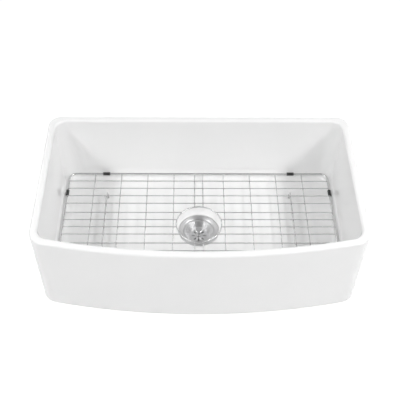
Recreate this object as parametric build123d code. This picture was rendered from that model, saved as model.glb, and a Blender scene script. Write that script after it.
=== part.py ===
from build123d import *
import os
from math import asin, atan2, cos, degrees, radians, sin, sqrt, tan

# Farmhouse sink with a bowed apron front, a lift-out wire grid and a basket strainer.
# Millimetres. +X is to the right, +Y to the back, +Z up.
# The origin is on the underside, midway between the apron's two front corners.

# ---------------------------------------------------------------- basin
basin_width = 838.0
basin_depth = 448.0            # front corners to the back face
apron_bow = 46.5               # how far the apron stands forward at its middle
basin_height = 257.0
outer_taper = 3.0              # each outer wall leans in by this much at the base
front_corner_radius = 43.0
back_corner_radius = 33.0
rim_width = 19.0
rim_edge_radius = 6.0
base_edge_radius = 6.0
wall_lean = 8.0                # each inner wall leans in by this much down to the floor
bowl_top_corner_radius = 32.0
bowl_floor_corner_radius = 50.0
floor_height = 40.0            # floor of the bowl beside its walls, over the underside
floor_blend_radius = 36.0
floor_fall = 4.0               # drop of the floor from the edge of its dish to the drain
floor_dish_margin = 4.5        # edge of the dish to the foot of the back wall's blend
drain_behind_middle = 14.75    # drain axis behind the middle of the whole depth, bow included
drain_hole_clearance = 0.7     # radial, around the strainer's neck
flange_recess_depth = 4.0
flange_recess_gap = 1.5        # radial, between flange and glaze
washer_seat_depth = 1.0        # shallow round seat in the underside, around the drain hole
washer_seat_gap = 2.0          # radial, around the clamp stack

# ---------------------------------------------------------------- fits
seat_gap = 0.3                 # between loose pieces that rest on each other
slip_gap = 0.05                # radial, where one piece turns or slides in another
weld_gap = 0.02                # between wires that are spot welded
thread_gap = 0.15              # radial, over the thread crests
cut_overrun = 2.0              # how far a cutter runs past the face that it opens

# ---------------------------------------------------------------- strainer
cup_bore_radius = 42.0
cup_shoulder_width = 2.3       # ledge that carries the basket's rim
cup_shoulder_depth = 6.0       # flange top to that ledge
cup_below_locknut = 15.0       # locknut's underside to the cup's floor
cup_floor_thickness = 2.0
cup_corner_radius = 6.0        # inside, between the cup's wall and floor
sheet_thickness = 1.5
flange_reach = 10.2            # flange beyond the neck
flange_lip_thickness = 2.0
flange_land = 2.0              # flat ring along the flange's edge
flange_edge_radius = 0.9
mouth_drop = 1.6               # from that flat ring down to the turn into the mouth
mouth_turn = 2.0               # width and height of the turn
mouth_turn_radius = 4.0
gasket_thickness = 1.5
gasket_setback = 1.0           # gasket's edge inside the flange's edge
neck_length = 3.0              # plain neck from the floor of the recess downwards
neck_step = 1.0                # height of the step from the neck to the thread
cup_thread_rise = 1.3          # thread crests over the cup's wall
cup_thread_past_nut = 4.0      # thread left bare under the locknut
thread_depth = 0.8
thread_pitch = 2.0
thread_crest_share = 0.25      # flat crest, as a share of the pitch
thread_root_share = 0.6        # where the groove is deepest, as a share of the pitch

# ---------------------------------------------------------------- clamp stack and outlet
rubber_washer_thickness = 3.0
fibre_washer_thickness = 1.0
clamp_overlap = 10.5           # washers beyond the drain hole
locknut_height = 12.0
locknut_lugs = 8
lug_width = 9.0
lug_root = 1.0                 # how deep a lug is rooted in its nut
locknut_lug_reach = 4.0
locknut_lug_drop = 3.0         # lugs stop this far under the locknut's top
waste_pipe_radius = 19.05      # the pipe that the coupling nut takes
pipe_clearance = 0.45
spigot_bore_step = 0.45        # spigot's bore inside the pipe's outer radius
spigot_wall = 5.3              # bore to thread crest
spigot_length = 20.0           # below the cup
spigot_flange_reach = 6.1      # flange beyond the thread
spigot_flange_thickness = 2.0
spigot_neck_wall = 2.4         # where the spigot passes through the cup's floor
spigot_lip_reach = 2.5         # lip beyond that neck
spigot_lip_thickness = 1.0
spoke_count = 4
spoke_width = 3.0
spoke_height = 4.0
spoke_rise = 1.0               # spokes' top over the underside of the spigot's flange
spoke_root = 0.5               # how deep a spoke is rooted in the bore's wall
hub_wall = 3.0
coupling_nut_wall = 4.5
coupling_nut_lip = 3.0
coupling_nut_grip = 10.0       # length of thread that the nut covers
coupling_lugs = 6
coupling_lug_reach = 3.0
coupling_lug_inset = 2.0       # lugs stop this far short of both ends of the nut
tailpiece_washer_thickness = 2.6

# ---------------------------------------------------------------- basket
basket_rim_clearance = 0.5     # radial, in the cup's mouth
basket_wall_clearance = 0.8    # radial, between basket and cup below the rim
basket_depth = 19.0
basket_sheet = 1.2
basket_corner_radius = 4.0
basket_edge_radius = 0.5
basket_wall_holes = 24
basket_wall_rows = 3
basket_first_row = 1.2         # height of the lowest row, counted in row spacings
basket_wall_hole_radius = 1.4
basket_floor_slots = 8
basket_slot_width = 3.4
basket_slot_length = 9.0
basket_slot_clearance = 4.4    # slot's inner end beyond the foot of the knob
basket_slot_margin = 7.0       # slot's outer end to the floor's edge
post_radius = 3.0
post_shoulder = 1.0            # radial, the part of the post that the basket rests on
post_collar = 2.0              # radial and in height
knob_radius = 11.0
knob_height = 10.0
knob_crown = 3.0               # metal over the post's end
knob_flare = 4.0               # height of the cone under the knob
knob_edge_radius = 2.4
knob_underside_radius = 2.0
knob_stem_wall = 1.6
knob_foot_reach = 2.0
knob_foot_height = 3.0
knob_rise = 5.0                # knob top over the flange top
stopper_overlap = 2.5          # stopper beyond the spigot's lip
stopper_thickness = 6.0
stopper_bevel = 2.0            # in plan, at its lower edge
stopper_bevel_height = 1.5
stopper_edge_height = 1.5
stopper_slope = 8.0            # in plan, from its edge to its flat top
stopper_washer_setback = 1.0
stopper_washer_thickness = 1.2
clip_wall = 1.2
clip_bulge = 1.1               # radial, the ring that snaps past the hub
clip_bulge_height = 2.0
clip_bulge_slope = 1.5
clip_bulge_drop = 0.5          # bulge's top under the spigot's flange
clip_length = 11.0

# ---------------------------------------------------------------- grid
frame_clearance = 11.0         # foot of the bowl's wall to the frame wire's centre line
frame_corner_radius = 20.0
frame_wire = 5.5
thin_wire = 2.8
ring_wire = 4.0
ring_clearance = 7.6           # drain flange to the ring's centre line, in plan
grid_stand = 27.4              # floor to the long wires' centre line
centre_row_pitch = 26.3        # the rows that end at the ring
centre_row_count = 4
row_gap_behind_ring = 10.35    # between centre lines, in plan
row_gap_at_back = 33.55        # last row to the frame
rows_behind_ring = 4
row_gap_before_ring = 7.35
row_gap_at_front = 20.55
rows_before_ring = 6
cross_gap_at_ring = 8.9        # ring to the first cross wire beside it
cross_gap_at_side = 76.0       # last cross wire to the frame
cross_wires_each_side = 4
centre_pair_offset = 12.0
bumper_wall = 1.85
bumper_length = 20.0
side_bumper_gap = 3.1          # bumper to the rows in front of it and behind it
back_bumper_place = 2.59       # counted in cross wire spacings from the first cross wire
front_bumper_place = 1.52
side_bumper_place = 1.5        # counted in row spacings from the row just behind the ring
runner_wire = 4.5
runner_place = 2.495           # counted in cross wire spacings from the first cross wire
runner_back_row = 1            # counted from the row just behind the ring
runner_front_row = 1           # counted from the row just before the ring
runner_leg_gap = 17.5          # leg's centre line beyond that row
runner_bend_radius = 7.0
foot_wall = 1.6
foot_base = 3.0                # rubber under the end of the leg
foot_length = 13.0
foot_edge_radius = 1.0

# ---------------------------------------------------------------- worked out: basin
bow_radius = (apron_bow**2 + (basin_width / 2) ** 2) / (2 * apron_bow)
bow_centre_y = bow_radius - apron_bow
bowl_foot_inset = rim_width + wall_lean
drain_y = (basin_depth - apron_bow) / 2 + drain_behind_middle
drain_floor = floor_height - floor_fall
recess_floor = drain_floor - flange_recess_depth

# ---------------------------------------------------------------- worked out: strainer
mouth_radius = cup_bore_radius + cup_shoulder_width
neck_radius = mouth_radius + sheet_thickness
cup_wall_radius = cup_bore_radius + sheet_thickness
cup_thread_radius = cup_wall_radius + cup_thread_rise
flange_radius = neck_radius + flange_reach
drain_hole_radius = neck_radius + drain_hole_clearance
clamp_radius = drain_hole_radius + clamp_overlap
flange_underside = recess_floor + gasket_thickness
flange_top = flange_underside + flange_lip_thickness
shoulder_z = flange_top - cup_shoulder_depth
rubber_washer_bottom = washer_seat_depth - rubber_washer_thickness
locknut_top = rubber_washer_bottom - fibre_washer_thickness
locknut_bottom = locknut_top - locknut_height
cup_floor = locknut_bottom - cup_below_locknut
cup_underside = cup_floor - cup_floor_thickness

# ---------------------------------------------------------------- worked out: outlet
pipe_bore_radius = waste_pipe_radius + pipe_clearance
spigot_bore_radius = waste_pipe_radius - spigot_bore_step
spigot_radius = spigot_bore_radius + spigot_wall
spigot_flange_radius = spigot_radius + spigot_flange_reach
spigot_neck_radius = spigot_bore_radius + spigot_neck_wall
spigot_lip_radius = spigot_neck_radius + spigot_lip_reach
spigot_flange_bottom = cup_underside - spigot_flange_thickness
spigot_lip_top = cup_floor + spigot_lip_thickness
spigot_bottom = cup_underside - spigot_length
nut_lip_inside = spigot_bottom - tailpiece_washer_thickness

# ---------------------------------------------------------------- worked out: basket
basket_rim_underside = shoulder_z + seat_gap
basket_rim_top = basket_rim_underside + basket_sheet
basket_floor_top = basket_rim_top - basket_depth
basket_floor_underside = basket_floor_top - basket_sheet
basket_top_radius = cup_bore_radius - basket_wall_clearance
post_bore_radius = post_radius + weld_gap
knob_stem_radius = post_radius + knob_stem_wall
knob_foot_radius = knob_stem_radius + knob_foot_reach
basket_slot_start = knob_foot_radius + basket_slot_clearance
basket_floor_radius = basket_slot_start + basket_slot_length + basket_slot_margin
knob_top = flange_top + knob_rise
knob_bottom = knob_top - knob_height
post_head = knob_top - knob_crown
stopper_radius = spigot_lip_radius + stopper_overlap
stopper_crown_radius = stopper_radius - stopper_slope
stopper_bottom = spigot_lip_top + seat_gap
stopper_top = stopper_bottom + stopper_thickness
collar_bottom = stopper_top + stopper_washer_thickness
clip_radius = post_radius + clip_wall
clip_bulge_radius = clip_radius + clip_bulge
clip_bottom = stopper_bottom - clip_length

# ---------------------------------------------------------------- worked out: grid
frame_inset = bowl_foot_inset + frame_clearance
frame_side = basin_width / 2 - frame_inset
frame_back = basin_depth - frame_inset
frame_bow_radius = bow_radius - frame_inset
grid_height = floor_height + grid_stand
cross_height = grid_height - thin_wire - weld_gap
frame_height = grid_height - (thin_wire + frame_wire) / 2 - weld_gap
ring_height = grid_height - (thin_wire + ring_wire) / 2 - weld_gap
ring_radius = flange_radius + ring_clearance
bumper_radius = frame_wire / 2 + bumper_wall
runner_height = grid_height - (thin_wire + runner_wire) / 2 - weld_gap
foot_bottom = floor_height + seat_gap
foot_bore_bottom = foot_bottom + foot_base
leg_end = foot_bore_bottom + slip_gap
cross_first = ring_radius + cross_gap_at_ring
cross_pitch = (frame_side - cross_gap_at_side - cross_first) / (cross_wires_each_side - 1)
first_row_behind = drain_y + ring_radius + row_gap_behind_ring
row_pitch_behind = (frame_back - row_gap_at_back - first_row_behind) / (rows_behind_ring - 1)
first_row_before = drain_y - ring_radius - row_gap_before_ring
last_row_before = frame_inset - apron_bow + row_gap_at_front
row_pitch_before = (first_row_before - last_row_before) / (rows_before_ring - 1)
runner_front = first_row_before - row_pitch_before * runner_front_row - runner_leg_gap
runner_back = first_row_behind + row_pitch_behind * runner_back_row + runner_leg_gap


# ---------------------------------------------------------------- outlines
def on_circle(centre, radius, angle):
    """Point of a circle in plan, angle in degrees from +X."""
    return (centre[0] + radius * cos(radians(angle)), centre[1] + radius * sin(radians(angle)))


def front_corner(inset, radius):
    """Centre of the right front corner's arc, and the bow's tangent angle there."""
    centre_x = basin_width / 2 - inset - radius
    reach = bow_radius - inset - radius
    centre_y = bow_centre_y - sqrt(reach**2 - centre_x**2)
    return (centre_x, centre_y), degrees(atan2(centre_y - bow_centre_y, centre_x))


def bowed_wire(inset, front_radius, back_radius):
    """Closed plan outline, the basin's outer outline drawn in by inset."""
    half = basin_width / 2 - inset
    back = basin_depth - inset
    (corner_x, corner_y), bow_angle = front_corner(inset, front_radius)
    right_tangent = on_circle((0, bow_centre_y), bow_radius - inset, bow_angle)
    left_tangent = (-right_tangent[0], right_tangent[1])
    bow_middle = (0, inset - apron_bow)
    back_centre = (half - back_radius, back - back_radius)
    back_mid = on_circle(back_centre, back_radius, 45)
    front_mid = on_circle((corner_x, corner_y), front_radius, bow_angle / 2)
    edges = [
        Line((-back_centre[0], back), (back_centre[0], back)),
        ThreePointArc((back_centre[0], back), back_mid, (half, back_centre[1])),
        Line((half, back_centre[1]), (half, corner_y)),
        ThreePointArc((half, corner_y), front_mid, right_tangent),
        ThreePointArc(right_tangent, bow_middle, left_tangent),
        ThreePointArc(left_tangent, (-front_mid[0], front_mid[1]), (-half, corner_y)),
        Line((-half, corner_y), (-half, back_centre[1])),
        ThreePointArc((-half, back_centre[1]), (-back_mid[0], back_mid[1]), (-back_centre[0], back)),
    ]
    return Wire(edges)


def bowed_face(z, inset, front_radius, back_radius):
    return Pos(0, 0, z) * Face(bowed_wire(inset, front_radius, back_radius))


# ---------------------------------------------------------------- round parts
def disc(radius, bottom, top):
    """Cylinder on the drain axis."""
    base = Align.CENTER, Align.CENTER, Align.MIN
    return Pos(0, drain_y, bottom) * Cylinder(radius, top - bottom, align=base)


def lathed(points, radius_fillets=()):
    """Solid of revolution about the Z axis from (radius, height) points."""
    face = Plane.XZ * make_face(Polyline(*points, close=True))
    for corner, size in radius_fillets:
        nearest = min(face.vertices(), key=lambda v: (v.X - corner[0]) ** 2 + (v.Z - corner[1]) ** 2)
        face = fillet(nearest, size)
    return revolve(face, Axis.Z, 360)


def turned(points, radius_fillets=()):
    """Solid of revolution about the drain axis from (radius, height) points."""
    return Pos(0, drain_y, 0) * lathed(points, radius_fillets)


def tube(outer, inner, bottom, top):
    return turned([(inner, bottom), (outer, bottom), (outer, top), (inner, top)])


def thread_profile(crest, top, bottom):
    """Points down the flank of ring-shaped thread grooves."""
    points = []
    for turn in range(int((top - bottom) / thread_pitch)):
        start = top - turn * thread_pitch
        points.append((crest, start))
        points.append((crest, start - thread_crest_share * thread_pitch))
        points.append((crest - thread_depth, start - thread_root_share * thread_pitch))
    points.append((crest, bottom))
    return points


def lugs(count, nut_radius, tip_radius, bottom, top):
    """Blocks that stand out of a nut, one solid each."""
    root = nut_radius - lug_root
    blocks = []
    for step in range(count):
        middle = Pos((root + tip_radius) / 2, 0, (bottom + top) / 2)
        block = middle * Box(tip_radius - root, lug_width, top - bottom)
        blocks.append(Pos(0, drain_y, 0) * Rot(0, 0, 360 * step / count) * block)
    return blocks


# ---------------------------------------------------------------- basin
def make_basin():
    block = loft([
        bowed_face(0, outer_taper, front_corner_radius, back_corner_radius),
        bowed_face(basin_height, 0, front_corner_radius, back_corner_radius),
    ], ruled=True)
    block = fillet(block.faces().sort_by(Axis.Z)[0].edges(), base_edge_radius)
    bowl = fillet(bowl_space().faces().sort_by(Axis.Z)[0].edges(), floor_blend_radius)
    body = block - bowl
    body = fillet(body.faces().sort_by(Axis.Z)[-1].edges(), rim_edge_radius)
    body -= floor_dish()
    body -= disc(drain_hole_radius, -cut_overrun, floor_height)
    body -= disc(flange_radius + flange_recess_gap, recess_floor, floor_height)
    body -= disc(clamp_radius + washer_seat_gap, -cut_overrun, washer_seat_depth)
    return body


def floor_dish():
    """Shallow round dish that falls to the drain."""
    dish_radius = basin_depth - drain_y - bowl_foot_inset - floor_blend_radius - floor_dish_margin
    ball_radius = (dish_radius**2 + floor_fall**2) / (2 * floor_fall)
    ball = Pos(0, drain_y, drain_floor + ball_radius) * Sphere(ball_radius)
    return ball & disc(dish_radius + cut_overrun, drain_floor, floor_height + cut_overrun)


def bowl_space():
    """The room inside the walls, carried on in the same lines past the rim."""
    rise = 2 * rim_edge_radius
    share = rise / (basin_height - floor_height)
    radius_step = bowl_floor_corner_radius - bowl_top_corner_radius
    top_inset = rim_width - wall_lean * share
    top_radius = bowl_top_corner_radius - radius_step * share
    return loft([
        bowed_face(floor_height, bowl_foot_inset, bowl_floor_corner_radius, bowl_floor_corner_radius),
        bowed_face(basin_height + rise, top_inset, top_radius, top_radius),
    ], ruled=True)


# ---------------------------------------------------------------- strainer and outlet
def make_strainer_body():
    mouth_turn_top = flange_top - mouth_drop
    neck_bottom = recess_floor - neck_length
    thread_bottom = locknut_bottom - cup_thread_past_nut
    floor_hole = spigot_neck_radius + slip_gap
    points = [
        (flange_radius, flange_underside),
        (flange_radius, flange_top),
        (flange_radius - flange_land, flange_top),
        (mouth_radius + mouth_turn, mouth_turn_top),
        (mouth_radius, mouth_turn_top - mouth_turn),
        (mouth_radius, shoulder_z),
        (cup_bore_radius, shoulder_z),
        (cup_bore_radius, cup_floor),
        (floor_hole, cup_floor),
        (floor_hole, cup_underside),
        (cup_wall_radius, cup_underside),
        (cup_wall_radius, thread_bottom),
    ]
    points += reversed(thread_profile(cup_thread_radius, neck_bottom - neck_step, thread_bottom))
    points += [(neck_radius, neck_bottom), (neck_radius, flange_underside)]
    corners = [
        ((cup_bore_radius, cup_floor), cup_corner_radius),
        ((cup_wall_radius, cup_underside), cup_corner_radius + sheet_thickness),
        ((mouth_radius + mouth_turn, mouth_turn_top), mouth_turn_radius),
        ((flange_radius, flange_top), flange_edge_radius),
    ]
    return turned(points, corners)


def make_outlet_spigot():
    points = [
        (spigot_bore_radius, spigot_bottom),
        (spigot_bore_radius, spigot_lip_top),
        (spigot_lip_radius, spigot_lip_top),
        (spigot_lip_radius, cup_floor),
        (spigot_neck_radius, cup_floor),
        (spigot_neck_radius, cup_underside),
        (spigot_flange_radius, cup_underside),
        (spigot_flange_radius, spigot_flange_bottom),
    ]
    spigot = turned(points + thread_profile(spigot_radius, spigot_flange_bottom, spigot_bottom))
    hub_radius = clip_bulge_radius + seat_gap
    hub_top = spigot_flange_bottom + spoke_rise
    hub_bottom = hub_top - spoke_height
    spigot += tube(hub_radius + hub_wall, hub_radius, hub_bottom, hub_top)
    spoke_start = hub_radius + hub_wall / 2
    reach = spigot_bore_radius + spoke_root - spoke_start
    middle = Pos(spoke_start + reach / 2, 0, (hub_top + hub_bottom) / 2)
    for step in range(spoke_count):
        turn = Rot(0, 0, 360 * (step + 0.5) / spoke_count)
        spigot += Pos(0, drain_y, 0) * turn * middle * Box(reach, spoke_width, spoke_height)
    return spigot


def make_flange_gasket():
    return tube(flange_radius - gasket_setback, neck_radius + seat_gap, recess_floor, flange_underside)


def make_underside_washer():
    return tube(clamp_radius, cup_thread_radius + seat_gap, rubber_washer_bottom, washer_seat_depth)


def make_friction_washer():
    return tube(clamp_radius, cup_thread_radius + seat_gap, locknut_top, rubber_washer_bottom)


def make_locknut():
    radius = clamp_radius - locknut_lug_reach
    nut = tube(radius, cup_thread_radius + thread_gap, locknut_bottom, locknut_top)
    for lug in lugs(locknut_lugs, radius, clamp_radius, locknut_bottom, locknut_top - locknut_lug_drop):
        nut += lug
    return nut


def make_tailpiece_washer():
    return tube(spigot_radius - seat_gap, pipe_bore_radius, nut_lip_inside, spigot_bottom)


def make_coupling_nut():
    bottom = nut_lip_inside - coupling_nut_lip
    top = spigot_bottom + coupling_nut_grip
    inner = spigot_radius + thread_gap
    outer = inner + coupling_nut_wall
    nut = turned([
        (pipe_bore_radius, bottom), (outer, bottom), (outer, top),
        (inner, top), (inner, nut_lip_inside), (pipe_bore_radius, nut_lip_inside),
    ])
    ends = bottom + coupling_lug_inset, top - coupling_lug_inset
    for lug in lugs(coupling_lugs, outer, outer + coupling_lug_reach, *ends):
        nut += lug
    return nut


# ---------------------------------------------------------------- basket and its stopper
def make_basket():
    rim_radius = mouth_radius - basket_rim_clearance
    bore = post_radius + slip_gap
    inner_floor_radius = basket_floor_radius - basket_sheet / 2
    basket = turned([
        (bore, basket_floor_underside),
        (basket_floor_radius, basket_floor_underside),
        (basket_top_radius, basket_rim_underside),
        (rim_radius, basket_rim_underside),
        (rim_radius, basket_rim_top),
        (basket_top_radius - basket_sheet, basket_rim_top),
        (inner_floor_radius, basket_floor_top),
        (bore, basket_floor_top),
    ], [
        ((basket_floor_radius, basket_floor_underside), basket_corner_radius),
        ((inner_floor_radius, basket_floor_top), basket_corner_radius - basket_sheet),
        ((rim_radius, basket_rim_top), basket_edge_radius),
    ])
    for cutter in basket_drills() + basket_slots():
        basket -= cutter
    return basket


def basket_drills():
    """Rows of round holes through the sloping wall, each row half a step on from the last."""
    start = basket_floor_radius / 2
    length = basket_top_radius + cut_overrun - start
    drill = Rot(0, 90, 0) * Cylinder(basket_wall_hole_radius, length)
    spacing = (basket_rim_underside - basket_floor_top) / (basket_wall_rows + 1)
    drills = []
    for row in range(basket_wall_rows):
        height = basket_floor_top + spacing * (row + basket_first_row)
        for step in range(basket_wall_holes):
            turn = Rot(0, 0, 360 * (step + 0.5 * (row % 2)) / basket_wall_holes)
            drills.append(Pos(0, drain_y, height) * turn * Pos(start + length / 2, 0, 0) * drill)
    return drills


def basket_slots():
    """Slots in the floor, like the spokes of a wheel."""
    cutter = extrude(SlotOverall(basket_slot_length, basket_slot_width), 2 * basket_sheet, both=True)
    middle = Pos(basket_slot_start + basket_slot_length / 2, 0, 0)
    slots = []
    for step in range(basket_floor_slots):
        turn = Rot(0, 0, 360 * step / basket_floor_slots)
        slots.append(Pos(0, drain_y, basket_floor_top) * turn * middle * cutter)
    return slots


def make_basket_post():
    shoulder_radius = post_radius + post_shoulder
    shoulder_top = basket_floor_underside - seat_gap
    collar_radius = post_radius + post_collar
    collar_top = collar_bottom + post_collar
    return turned([
        (0, clip_bottom), (post_radius, clip_bottom), (post_radius, collar_bottom),
        (collar_radius, collar_bottom), (collar_radius, collar_top),
        (shoulder_radius, collar_top + post_shoulder), (shoulder_radius, shoulder_top),
        (post_radius, shoulder_top), (post_radius, post_head), (0, post_head),
    ])


def make_basket_knob():
    stem_bottom = basket_floor_top + seat_gap
    flare_top = knob_bottom + knob_flare
    points = [
        (post_bore_radius, stem_bottom), (knob_foot_radius, stem_bottom),
        (knob_stem_radius, stem_bottom + knob_foot_height), (knob_stem_radius, knob_bottom),
        (knob_radius, flare_top), (knob_radius, knob_top),
        (0, knob_top), (0, post_head), (post_bore_radius, post_head),
    ]
    corners = [((knob_radius, knob_top), knob_edge_radius), ((knob_radius, flare_top), knob_underside_radius)]
    return turned(points, corners)


def make_basket_stopper():
    bevel_top = stopper_bottom + stopper_bevel_height
    return turned([
        (post_bore_radius, stopper_bottom), (stopper_radius - stopper_bevel, stopper_bottom),
        (stopper_radius, bevel_top), (stopper_radius, bevel_top + stopper_edge_height),
        (stopper_crown_radius, stopper_top), (post_bore_radius, stopper_top),
    ])


def make_stopper_washer():
    radius = stopper_crown_radius - stopper_washer_setback
    return tube(radius, post_bore_radius, stopper_top, collar_bottom)


def make_post_clip():
    bulge_top = spigot_flange_bottom - clip_bulge_drop
    return turned([
        (post_bore_radius, clip_bottom), (clip_radius, clip_bottom),
        (clip_bulge_radius, bulge_top - clip_bulge_height), (clip_bulge_radius, bulge_top),
        (clip_radius, bulge_top + clip_bulge_slope), (clip_radius, stopper_bottom),
        (post_bore_radius, stopper_bottom),
    ])


# ---------------------------------------------------------------- grid
def straight_wire(start, end, diameter):
    """Round rod between two points."""
    run = Line(start, end)
    return Solid.make_cylinder(diameter / 2, run.length, Plane(start, z_dir=run % 0))


def frame_half_width(y):
    """Distance from the middle to the frame's centre line, along a row at y."""
    (corner_x, corner_y), bow_angle = front_corner(frame_inset, frame_corner_radius)
    tangent_y = bow_centre_y + frame_bow_radius * sin(radians(bow_angle))
    if y >= corner_y:
        return frame_side
    if y >= tangent_y:
        return corner_x + sqrt(frame_corner_radius**2 - (y - corner_y) ** 2)
    return sqrt(frame_bow_radius**2 - (bow_centre_y - y) ** 2)


def cross_x(place):
    """Distance from the middle, counted in cross wire spacings from the first cross wire."""
    return cross_first + cross_pitch * place


def make_grid_frame():
    path = Pos(0, 0, frame_height) * bowed_wire(frame_inset, frame_corner_radius, frame_corner_radius)
    start = Plane(path @ 0, z_dir=path % 0)
    return Solid(sweep(start * Circle(frame_wire / 2), path).solid().wrapped)


def centre_rows():
    middle = (centre_row_count - 1) / 2
    return [drain_y + centre_row_pitch * (step - middle) for step in range(centre_row_count)]


def through_rows():
    behind = [first_row_behind + row_pitch_behind * step for step in range(rows_behind_ring)]
    before = [first_row_before - row_pitch_before * step for step in range(rows_before_ring)]
    return behind + before


def make_grid_long_wires():
    wires = []
    for y in through_rows():
        reach = frame_half_width(y)
        wires.append(straight_wire((-reach, y, grid_height), (reach, y, grid_height), thin_wire))
    for y in centre_rows():
        reach = frame_half_width(y)
        stop = sqrt(ring_radius**2 - (y - drain_y) ** 2)
        for side in (-1, 1):
            start = (side * stop, y, grid_height)
            wires.append(straight_wire(start, (side * reach, y, grid_height), thin_wire))
    return wires


def frame_front(x):
    """Where a front-back wire at x meets the inner side of the frame's bowed front."""
    lean = asin(x / frame_bow_radius)
    centre = bow_centre_y - frame_bow_radius * cos(lean)
    return centre + (frame_wire / 2 + weld_gap) / cos(lean) + thin_wire / 2 * tan(lean)


def make_grid_cross_wires():
    back = frame_back - frame_wire / 2 - weld_gap
    ring_outside = ring_radius + ring_wire / 2 + weld_gap
    stop = sqrt(ring_outside**2 - (centre_pair_offset - thin_wire / 2) ** 2)
    runs = [(cross_x(step), frame_front(cross_x(step)), back) for step in range(cross_wires_each_side)]
    runs.append((centre_pair_offset, drain_y + stop, back))
    runs.append((centre_pair_offset, frame_front(centre_pair_offset), drain_y - stop))
    wires = []
    for side in (-1, 1):
        for x, front, rear in runs:
            ends = (side * x, front, cross_height), (side * x, rear, cross_height)
            wires.append(straight_wire(*ends, thin_wire))
    return wires


def make_grid_drain_ring():
    return Pos(0, drain_y, ring_height) * Torus(ring_radius, ring_wire / 2)


def make_grid_runners():
    """Wires that carry the rows, each with a leg bent down at both ends."""
    runners = []
    for x in (-cross_x(runner_place), cross_x(runner_place)):
        path = FilletPolyline(
            (x, runner_front, leg_end), (x, runner_front, runner_height),
            (x, runner_back, runner_height), (x, runner_back, leg_end),
            radius=runner_bend_radius,
        )
        section = Plane(path @ 0, z_dir=path % 0) * Circle(runner_wire / 2)
        runners.append(sweep(section, path))
    return runners


def make_grid_feet():
    """Rubber caps on the ends of the legs."""
    bore = runner_wire / 2 + slip_gap
    radius = bore + foot_wall
    top = foot_bottom + foot_length
    points = [
        (0, foot_bottom), (radius, foot_bottom), (radius, top),
        (bore, top), (bore, foot_bore_bottom), (0, foot_bore_bottom),
    ]
    foot = lathed(points, [((radius, foot_bottom), foot_edge_radius), ((radius, top), foot_edge_radius)])
    feet = []
    for x in (-cross_x(runner_place), cross_x(runner_place)):
        for y in (runner_front, runner_back):
            feet.append(Pos(x, y, 0) * foot)
    return feet


def sleeve_along(path, outer, wire):
    """Soft tube round a wire, along a short line or arc."""
    plane = Plane(path @ 0, z_dir=path % 0)
    return sweep(plane * (Circle(outer) - Circle(wire / 2 + slip_gap)), path)


def make_grid_back_bumpers():
    sleeves = []
    for side in (-1, 1):
        middle = side * cross_x(back_bumper_place)
        start = (middle - bumper_length / 2, frame_back, frame_height)
        run = Line(start, (middle + bumper_length / 2, frame_back, frame_height))
        sleeves.append(sleeve_along(run, bumper_radius, frame_wire))
    return sleeves


def make_grid_side_bumpers():
    middle = first_row_behind + row_pitch_behind * side_bumper_place
    length = row_pitch_behind - thin_wire - 2 * side_bumper_gap
    sleeves = []
    for x in (-frame_side, frame_side):
        start = (x, middle - length / 2, frame_height)
        run = Line(start, (x, middle + length / 2, frame_height))
        sleeves.append(sleeve_along(run, bumper_radius, frame_wire))
    return sleeves


def make_grid_front_bumpers():
    centre = (0, bow_centre_y)
    half_turn = degrees(bumper_length / 2 / frame_bow_radius)
    sleeves = []
    for side in (-1, 1):
        middle = -90 + side * degrees(asin(cross_x(front_bumper_place) / frame_bow_radius))
        points = [on_circle(centre, frame_bow_radius, middle + turn) for turn in (-half_turn, 0, half_turn)]
        run = ThreePointArc(*[(x, y, frame_height) for x, y in points])
        sleeves.append(sleeve_along(run, bumper_radius, frame_wire))
    return sleeves


nodes = {
    "basin": make_basin,
    "strainer_body": make_strainer_body,
    "outlet_spigot": make_outlet_spigot,
    "flange_gasket": make_flange_gasket,
    "underside_washer": make_underside_washer,
    "friction_washer": make_friction_washer,
    "locknut": make_locknut,
    "tailpiece_washer": make_tailpiece_washer,
    "coupling_nut": make_coupling_nut,
    "basket": make_basket,
    "basket_post": make_basket_post,
    "basket_knob": make_basket_knob,
    "basket_stopper": make_basket_stopper,
    "stopper_washer": make_stopper_washer,
    "post_clip": make_post_clip,
    "grid_frame": make_grid_frame,
    "grid_long_wires": make_grid_long_wires,
    "grid_cross_wires": make_grid_cross_wires,
    "grid_drain_ring": make_grid_drain_ring,
    "grid_runners": make_grid_runners,
    "grid_feet": make_grid_feet,
    "grid_back_bumpers": make_grid_back_bumpers,
    "grid_side_bumpers": make_grid_side_bumpers,
    "grid_front_bumpers": make_grid_front_bumpers,
}

os.makedirs("parts", exist_ok=True)
for node, make in nodes.items():
    shape = make()
    pieces = shape if isinstance(shape, list) else [shape]
    solids = [solid for piece in pieces for solid in piece.solids()]
    export_step(Compound(children=solids) if len(solids) > 1 else solids[0], f"parts/{node}.step")
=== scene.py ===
from math import cos, radians, sin

import bpy
from mathutils import Matrix, Vector

# White fireclay sink with a bowed apron, its wire grid and its steel basket strainer.
# Metres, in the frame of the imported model: +X right, +Y back, +Z up, origin under the basin.

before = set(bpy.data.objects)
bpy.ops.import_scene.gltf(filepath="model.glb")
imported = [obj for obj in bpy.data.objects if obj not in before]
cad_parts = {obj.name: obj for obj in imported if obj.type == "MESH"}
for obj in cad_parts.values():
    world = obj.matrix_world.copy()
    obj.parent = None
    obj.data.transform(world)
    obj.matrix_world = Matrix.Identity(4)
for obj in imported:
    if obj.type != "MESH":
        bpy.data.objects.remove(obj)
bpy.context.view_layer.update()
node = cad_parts

# ---------------------------------------------------------------- the object
drain = (0.0, 0.2155)          # axis of the drain in plan
clay_top = 0.0042              # bare clay reaches this high on the underside's rounded edge
clay_waver = 0.0012            # how far the glaze's edge strays from that height
clay_facing = -0.35            # bare clay faces down at least this much
glaze_ior = 1.53

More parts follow.
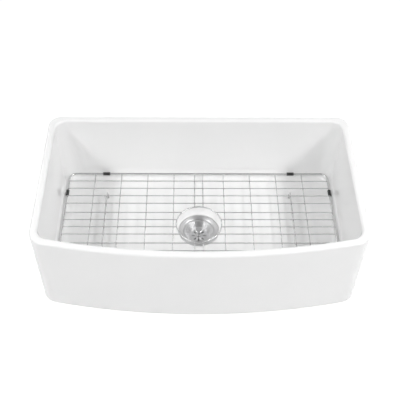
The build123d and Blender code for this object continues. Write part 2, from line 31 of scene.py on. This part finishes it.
# ---------------------------------------------------------------- the view
photo_pixels = 400
lens_pixels = 742.6            # focal length over a frame of photo_pixels
sensor_width = 36.0
camera_place = (-0.02281, -1.1169, 1.6667)
camera_down = radians(48.409)
camera_yaw = radians(1.06)
camera_roll = radians(0.87)

# ---------------------------------------------------------------- the stage
floor_reach = 6.0
floor_gap = 0.0003             # keeps the floor just clear of the underside
floor_lighting = 0.8           # grey that lights other surfaces
floor_seen = 0.22              # grey that is seen, with the shadow on it, besides the glow
floor_glow = 0.86              # white that the floor shows of its own, where it is seen
glow_fade = (1.2, 3.2)         # distances at which that white begins and ends its rise to 1
well_half = 0.14               # half the side of the well that the drain's parts hang into
well_depth = 0.15

# directions that the surroundings' light comes from, and how much
world_glow = (
    ((-1, 0, 0), 0.37),
    ((1, 0, 0), 0.34),
    ((0, -1, 0), 0.12),
    ((0, 1, 0), 0.2),
)
ceiling_white = 0.42           # how white the surroundings are seen overhead; the rest is 1
overhead_edge = (0.5, 0.1)     # upward part of a direction, from ceiling to white
sideways_edge = (0.1, 0.36)    # sideways part of a direction, from ceiling to white

# name, place, the point it faces, width and height, watts, whether it shows in reflections
lamps = (
    ("left_strip", (-1.47, -0.6, 1.67), (0, -0.6, 0.05), (2.2, 0.36), 20.5, True),
    ("right_strip", (1.47, -0.6, 1.67), (0, -0.6, 0.05), (2.2, 0.36), 24.5, True),
    ("left_back", (-1.47, 2.0, 1.67), (0, 2.0, 0.05), (1.8, 0.5), 7, True),
    ("right_back", (1.47, 2.0, 1.67), (0, 2.0, 0.05), (1.8, 0.5), 7, True),
    ("overhead", (0.25, -1.4, 2.8), (0, 0.2, 0.05), (2.6, 2.0), 29, False),
)


# ---------------------------------------------------------------- nodes
def seen_rays(tree):
    """1 where a surface is seen, straight or in a reflection, 0 where it only lights others."""
    path = tree.nodes.new("ShaderNodeLightPath")
    value = path.outputs["Is Camera Ray"]
    for name in ("Is Glossy Ray", "Is Transmission Ray"):
        larger = tree.nodes.new("ShaderNodeMath")
        larger.operation = "MAXIMUM"
        tree.links.new(value, larger.inputs[0])
        tree.links.new(path.outputs[name], larger.inputs[1])
        value = larger.outputs[0]
    return value


class Shader:
    """One material and the few node patterns that its surface is made of."""

    def __init__(self, name):
        self.material = bpy.data.materials.new(name)
        self.material.use_nodes = True
        self.tree = self.material.node_tree
        self.out = self.tree.nodes["Material Output"]
        self.surface = self.tree.nodes["Principled BSDF"]

    def set(self, **values):
        for key, value in values.items():
            self.surface.inputs[key.replace("_", " ")].default_value = value
        return self

    def node(self, kind, **values):
        made = self.tree.nodes.new(kind)
        for key, value in values.items():
            setattr(made, key, value)
        return made

    def link(self, start, end):
        self.tree.links.new(start, end)

    def place(self, scale=(1, 1, 1), centre=(0, 0, 0)):
        """Position on the object, measured from a centre and stretched along each axis."""
        coordinate = self.node("ShaderNodeTexCoord")
        mapping = self.node("ShaderNodeMapping")
        mapping.inputs["Location"].default_value = [-c * s for c, s in zip(centre, scale)]
        mapping.inputs["Scale"].default_value = scale
        self.link(coordinate.outputs["Object"], mapping.inputs["Vector"])
        return mapping.outputs["Vector"]

    def noise(self, vector, scale, detail=2.0, roughness=0.5):
        made = self.node("ShaderNodeTexNoise")
        made.inputs["Scale"].default_value = scale
        made.inputs["Detail"].default_value = detail
        made.inputs["Roughness"].default_value = roughness
        self.link(vector, made.inputs["Vector"])
        return made.outputs["Fac"]

    def ramp(self, value, low, high, start=0.0, end=1.0):
        """Carries a value that runs from start to end over to the range low to high."""
        made = self.node("ShaderNodeMapRange")
        made.inputs["From Min"].default_value = start
        made.inputs["From Max"].default_value = end
        made.inputs["To Min"].default_value = low
        made.inputs["To Max"].default_value = high
        self.link(value, made.inputs["Value"])
        return made.outputs["Result"]

    def math(self, operation, first, second=None):
        made = self.node("ShaderNodeMath", operation=operation)
        for socket, value in zip(made.inputs, (first, second)):
            if value is None:
                continue
            if isinstance(value, (int, float)):
                socket.default_value = value
            else:
                self.link(value, socket)
        return made.outputs[0]

    def mix(self, share, first, second):
        """Blend of two colours, each a triple or another node's colour."""
        made = self.node("ShaderNodeMix", data_type="RGBA")
        factor, start, end = made.inputs[0], made.inputs[6], made.inputs[7]
        self.link(share, factor)
        for socket, value in ((start, first), (end, second)):
            if isinstance(value, tuple):
                socket.default_value = (*value, 1)
            else:
                self.link(value, socket)
        return made.outputs[2]

    def bump(self, height, strength, distance, base=None):
        made = self.node("ShaderNodeBump")
        made.inputs["Strength"].default_value = strength
        made.inputs["Distance"].default_value = distance
        self.link(height, made.inputs["Height"])
        if base is not None:
            self.link(base, made.inputs["Normal"])
        return made.outputs["Normal"]

    def feed(self, **links):
        for key, value in links.items():
            self.link(value, self.surface.inputs[key.replace("_", " ")])
        return self

    def separate(self, vector):
        made = self.node("ShaderNodeSeparateXYZ")
        self.link(vector, made.inputs[0])
        return made.outputs

    def from_drain(self):
        """Distance from the drain's axis, and height."""
        across, along, height = self.separate(self.place(centre=(*drain, 0)))
        squares = self.math(
            "ADD",
            self.math("MULTIPLY", across, across),
            self.math("MULTIPLY", along, along),
        )
        return self.math("SQRT", squares), height

    def rings(self, scale, detail, roughness=0.5):
        """Noise that runs round the drain's axis, as on a turned piece."""
        radius, height = self.from_drain()
        made = self.node("ShaderNodeCombineXYZ")
        self.link(radius, made.inputs[0])
        self.link(height, made.inputs[2])
        return self.noise(made.outputs[0], scale, detail, roughness)


# ---------------------------------------------------------------- materials
def glaze():
    """Thick white glaze over fireclay, with bare clay on the underside."""
    s = Shader("fireclay_glaze").set(IOR=glaze_ior)
    place = s.place()
    cloud = s.ramp(s.noise(place, 6.0, 3.0), 0, 1, 0.3, 0.7)
    white = s.mix(cloud, (0.906, 0.907, 0.907), (0.925, 0.925, 0.923))
    facing = s.separate(s.node("ShaderNodeNewGeometry").outputs["Normal"])[2]
    height = s.separate(place)[2]
    ragged = s.ramp(s.noise(place, 90.0, 3.0), -clay_waver, clay_waver)
    low = s.math("LESS_THAN", s.math("ADD", height, ragged), clay_top)
    bare = s.math("MULTIPLY", low, s.math("LESS_THAN", facing, clay_facing))
    grain = s.noise(place, 700.0, 5.0, 0.65)
    clay = s.mix(s.ramp(grain, 0, 1, 0.35, 0.65), (0.62, 0.56, 0.47), (0.74, 0.69, 0.6))
    s.feed(Base_Color=s.mix(bare, white, clay))
    sheen = s.ramp(s.noise(place, 14.0, 2.0), 0.025, 0.06)
    s.feed(Roughness=s.math("MAXIMUM", sheen, s.math("MULTIPLY", bare, 0.85)))
    waves = s.bump(s.noise(place, 18.0, 2.0, 0.4), 0.08, 0.0012)
    s.feed(Normal=s.bump(s.math("MULTIPLY", bare, grain), 0.5, 0.0006, waves))
    return s.material


def wire_steel():
    """Drawn, electropolished stainless wire."""
    s = Shader("wire_steel").set(Metallic=1.0)
    place = s.place()
    cloud = s.noise(place, 60.0, 3.0)
    s.feed(Base_Color=s.mix(cloud, (0.58, 0.58, 0.583), (0.67, 0.67, 0.673)))
    s.feed(Roughness=s.ramp(s.noise(place, 240.0, 4.0), 0.18, 0.32))
    s.feed(Normal=s.bump(s.noise(place, 1500.0, 3.0), 0.12, 0.0002))
    return s.material


def polished_steel():
    """Bright stainless sheet with the fine rings that polishing on a lathe leaves."""
    s = Shader("polished_steel")
    # a quarter turn lays the highlight across the rings
    s.set(Metallic=1.0, Anisotropic=0.9, Anisotropic_Rotation=0.25)
    around = s.node("ShaderNodeTangent", direction_type="RADIAL", axis="Z")
    s.feed(Tangent=around.outputs[0])
    rings = s.rings(1600.0, 3.0, 0.6)
    cloud = s.noise(s.place(), 45.0, 3.0)
    s.feed(Base_Color=s.mix(cloud, (0.60, 0.60, 0.605), (0.68, 0.68, 0.685)))
    s.feed(Roughness=s.ramp(rings, 0.32, 0.42))
    s.feed(Normal=s.bump(rings, 0.12, 0.0003))
    return s.material


def bright_steel():
    """Knob steel, buffed after turning."""
    s = Shader("bright_steel").set(Metallic=1.0)
    rings = s.rings(1800.0, 2.0)
    s.feed(Base_Color=s.mix(rings, (0.72, 0.72, 0.725), (0.8, 0.8, 0.8)))
    s.feed(Roughness=s.ramp(rings, 0.1, 0.2))
    s.feed(Normal=s.bump(rings, 0.1, 0.0002))
    return s.material


def turned_steel():
    """Plain steel as it comes off the lathe."""
    s = Shader("turned_steel").set(Metallic=1.0)
    rings = s.rings(2600.0, 2.0)
    s.feed(Base_Color=s.mix(rings, (0.46, 0.46, 0.465), (0.6, 0.6, 0.6)))
    s.feed(Roughness=s.ramp(rings, 0.24, 0.4))
    s.feed(Normal=s.bump(rings, 0.3, 0.0003))
    return s.material


def brass():
    """Cast brass, lightly tarnished."""
    s = Shader("cast_brass").set(Metallic=1.0)
    place = s.place()
    tarnish = s.noise(place, 70.0, 5.0, 0.6)
    spots = s.ramp(tarnish, 0, 1, 0.4, 0.7)
    s.feed(Base_Color=s.mix(spots, (0.66, 0.47, 0.2), (0.36, 0.25, 0.12)))
    s.feed(Roughness=s.ramp(tarnish, 0.26, 0.55, 0.3, 0.7))
    s.feed(Normal=s.bump(s.noise(place, 900.0, 4.0), 0.25, 0.0004))
    return s.material


def plated_nut():
    """Chrome over a die casting that isn't quite smooth."""
    s = Shader("plated_nut").set(Metallic=1.0)
    place = s.place()
    s.feed(Base_Color=s.mix(s.noise(place, 80.0), (0.58, 0.585, 0.6), (0.68, 0.68, 0.69)))
    s.feed(Roughness=s.ramp(s.noise(place, 300.0, 3.0), 0.1, 0.22))
    s.feed(Normal=s.bump(s.noise(place, 220.0, 3.0), 0.2, 0.0006))
    return s.material


def rubber(name, dark, light, roughness, spread=0.1):
    """Moulded rubber or plastic with a fine, dusty grain."""
    s = Shader(name)
    place = s.place()
    grain = s.noise(place, 1400.0, 4.0, 0.6)
    dust = s.ramp(s.noise(place, 160.0, 3.0), 0, 1, 0.4, 0.7)
    s.feed(Base_Color=s.mix(dust, dark, light))
    s.feed(Roughness=s.ramp(grain, roughness - spread, roughness + spread))
    s.feed(Normal=s.bump(grain, 0.35, 0.0003))
    return s.material


def fibre():
    """Pressed fibre board with short flecks."""
    s = Shader("pressed_fibre")
    flecks = s.noise(s.place((1, 4, 9)), 320.0, 5.0, 0.7)
    share = s.ramp(flecks, 0, 1, 0.35, 0.65)
    s.feed(Base_Color=s.mix(share, (0.2, 0.11, 0.07), (0.34, 0.21, 0.14)))
    s.feed(Roughness=s.ramp(flecks, 0.7, 0.95))
    s.feed(Normal=s.bump(flecks, 0.4, 0.0004))
    return s.material


def floor_white():
    """Matt floor that shows as white where it is seen and keeps the sink's shadow."""
    s = Shader("floor_white").set(Roughness=0.9, Specular_IOR_Level=0)
    seen = seen_rays(s.tree)
    s.feed(Base_Color=s.mix(seen, (floor_lighting,) * 3, (floor_seen,) * 3))
    away = s.from_drain()[0]
    glow = s.node("ShaderNodeEmission")
    glow.inputs["Color"].default_value = (1, 1, 1, 1)
    strength = s.math("MULTIPLY", seen, s.ramp(away, floor_glow, 1.0, *glow_fade))
    s.link(strength, glow.inputs["Strength"])
    both = s.node("ShaderNodeAddShader")
    s.link(s.surface.outputs[0], both.inputs[0])
    s.link(glow.outputs[0], both.inputs[1])
    s.link(both.outputs[0], s.out.inputs["Surface"])
    return s.material


# ---------------------------------------------------------------- stage, lights and camera
def make_floor():
    """Plain floor with a well, hidden by the basin, that the drain's parts hang into."""
    turns = ((-1, -1), (1, -1), (1, 1), (-1, 1))
    x, y = drain
    outer = [(a * floor_reach, b * floor_reach, 0) for a, b in turns]
    edge = [(x + a * well_half, y + b * well_half, 0) for a, b in turns]
    pit = [(px, py, -well_depth) for px, py, _ in edge]
    # four points each of outer, edge and pit, numbered in that order
    faces = [(8, 9, 10, 11)]
    for step in range(4):
        after = (step + 1) % 4
        faces.append((step, after, 4 + after, 4 + step))
        faces.append((4 + step, 4 + after, 8 + after, 8 + step))
    mesh = bpy.data.meshes.new("floor")
    mesh.from_pydata(outer + edge + pit, [], faces)
    mesh.materials.append(floor_white())
    floor = bpy.data.objects.new("floor", mesh)
    floor.location.z = -floor_gap
    bpy.context.scene.collection.objects.link(floor)


def make_world():
    """Soft light that differs by side, and pale surroundings with a darker ceiling where seen."""
    world = bpy.data.worlds.new("studio")
    bpy.context.scene.world = world
    world.use_nodes = True
    tree = world.node_tree
    direction = tree.nodes.new("ShaderNodeTexCoord").outputs["Generated"]

    light = None
    for side, share in world_glow:
        dot = tree.nodes.new("ShaderNodeVectorMath")
        dot.operation = "DOT_PRODUCT"
        dot.inputs[1].default_value = side
        tree.links.new(direction, dot.inputs[0])
        part = tree.nodes.new("ShaderNodeMapRange")
        part.inputs["To Max"].default_value = share
        tree.links.new(dot.outputs["Value"], part.inputs["Value"])
        if light is None:
            light = part.outputs["Result"]
            continue
        added = tree.nodes.new("ShaderNodeMath")
        tree.links.new(light, added.inputs[0])
        tree.links.new(part.outputs["Result"], added.inputs[1])
        light = added.outputs[0]

    parts = tree.nodes.new("ShaderNodeSeparateXYZ")
    tree.links.new(direction, parts.inputs[0])
    sideways = tree.nodes.new("ShaderNodeMath")
    sideways.operation = "ABSOLUTE"
    tree.links.new(parts.outputs["X"], sideways.inputs[0])
    shown = tree.nodes.new("ShaderNodeMath")
    shown.operation = "MAXIMUM"
    edges = ((parts.outputs["Z"], overhead_edge), (sideways.outputs[0], sideways_edge))
    for socket, (value, (ceiling, white)) in zip(shown.inputs, edges):
        part = tree.nodes.new("ShaderNodeMapRange")
        part.inputs["From Min"].default_value = ceiling
        part.inputs["From Max"].default_value = white
        part.inputs["To Min"].default_value = ceiling_white
        tree.links.new(value, part.inputs["Value"])
        tree.links.new(part.outputs["Result"], socket)

    strength = tree.nodes.new("ShaderNodeMix")
    factor, unseen, seen = strength.inputs[0], strength.inputs[2], strength.inputs[3]
    tree.links.new(seen_rays(tree), factor)
    tree.links.new(light, unseen)
    tree.links.new(shown.outputs[0], seen)
    background = tree.nodes["Background"]
    background.inputs["Color"].default_value = (1, 1, 1, 1)
    tree.links.new(strength.outputs[0], background.inputs["Strength"])


def make_lamp(name, place, target, size, power, mirrored):
    data = bpy.data.lights.new(name, "AREA")
    data.shape = "RECTANGLE"
    data.size, data.size_y = size
    data.energy = power
    lamp = bpy.data.objects.new(name, data)
    lamp.location = place
    lamp.visible_glossy = mirrored
    facing = Vector(target) - Vector(place)
    lamp.rotation_euler = facing.to_track_quat("-Z", "Y").to_euler()
    bpy.context.scene.collection.objects.link(lamp)


def make_camera():
    data = bpy.data.cameras.new("camera")
    data.sensor_width = sensor_width
    data.lens = lens_pixels / photo_pixels * sensor_width
    camera = bpy.data.objects.new("camera", data)
    level = cos(camera_down)
    ahead = Vector((sin(camera_yaw) * level, cos(camera_yaw) * level, -sin(camera_down)))
    right = Vector((cos(camera_yaw), -sin(camera_yaw), 0))
    up = right.cross(ahead)
    tilted_right = right * cos(camera_roll) + up * sin(camera_roll)
    tilted_up = up * cos(camera_roll) - right * sin(camera_roll)
    turn = Matrix((tilted_right, tilted_up, -ahead)).transposed()
    camera.matrix_world = Matrix.Translation(camera_place) @ turn.to_4x4()
    bpy.context.scene.collection.objects.link(camera)
    bpy.context.scene.camera = camera


# ---------------------------------------------------------------- put together
def dress(material, *names):
    for name in names:
        mesh = node[name].data
        mesh.materials.clear()
        mesh.materials.append(material)


dress(glaze(), "basin")
dress(wire_steel(), "grid_frame", "grid_long_wires", "grid_cross_wires",
      "grid_drain_ring", "grid_runners")
dress(polished_steel(), "strainer_body", "basket")
dress(bright_steel(), "basket_knob")
dress(turned_steel(), "basket_post", "stopper_washer", "post_clip")
dress(brass(), "outlet_spigot", "locknut")
dress(plated_nut(), "coupling_nut")
dress(rubber("black_rubber", (0.018, 0.018, 0.019), (0.035, 0.035, 0.036), 0.6),
      "flange_gasket", "underside_washer", "basket_stopper",
      "grid_back_bumpers", "grid_side_bumpers", "grid_front_bumpers")
dress(rubber("grey_vinyl", (0.4, 0.4, 0.4), (0.5, 0.5, 0.495), 0.5), "grid_feet")
dress(rubber("white_washer", (0.72, 0.72, 0.7), (0.8, 0.8, 0.78), 0.4), "tailpiece_washer")
dress(fibre(), "friction_washer")

make_floor()
make_world()
for lamp in lamps:
    make_lamp(*lamp)
make_camera()
bpy.context.scene.view_settings.view_transform = "Standard"
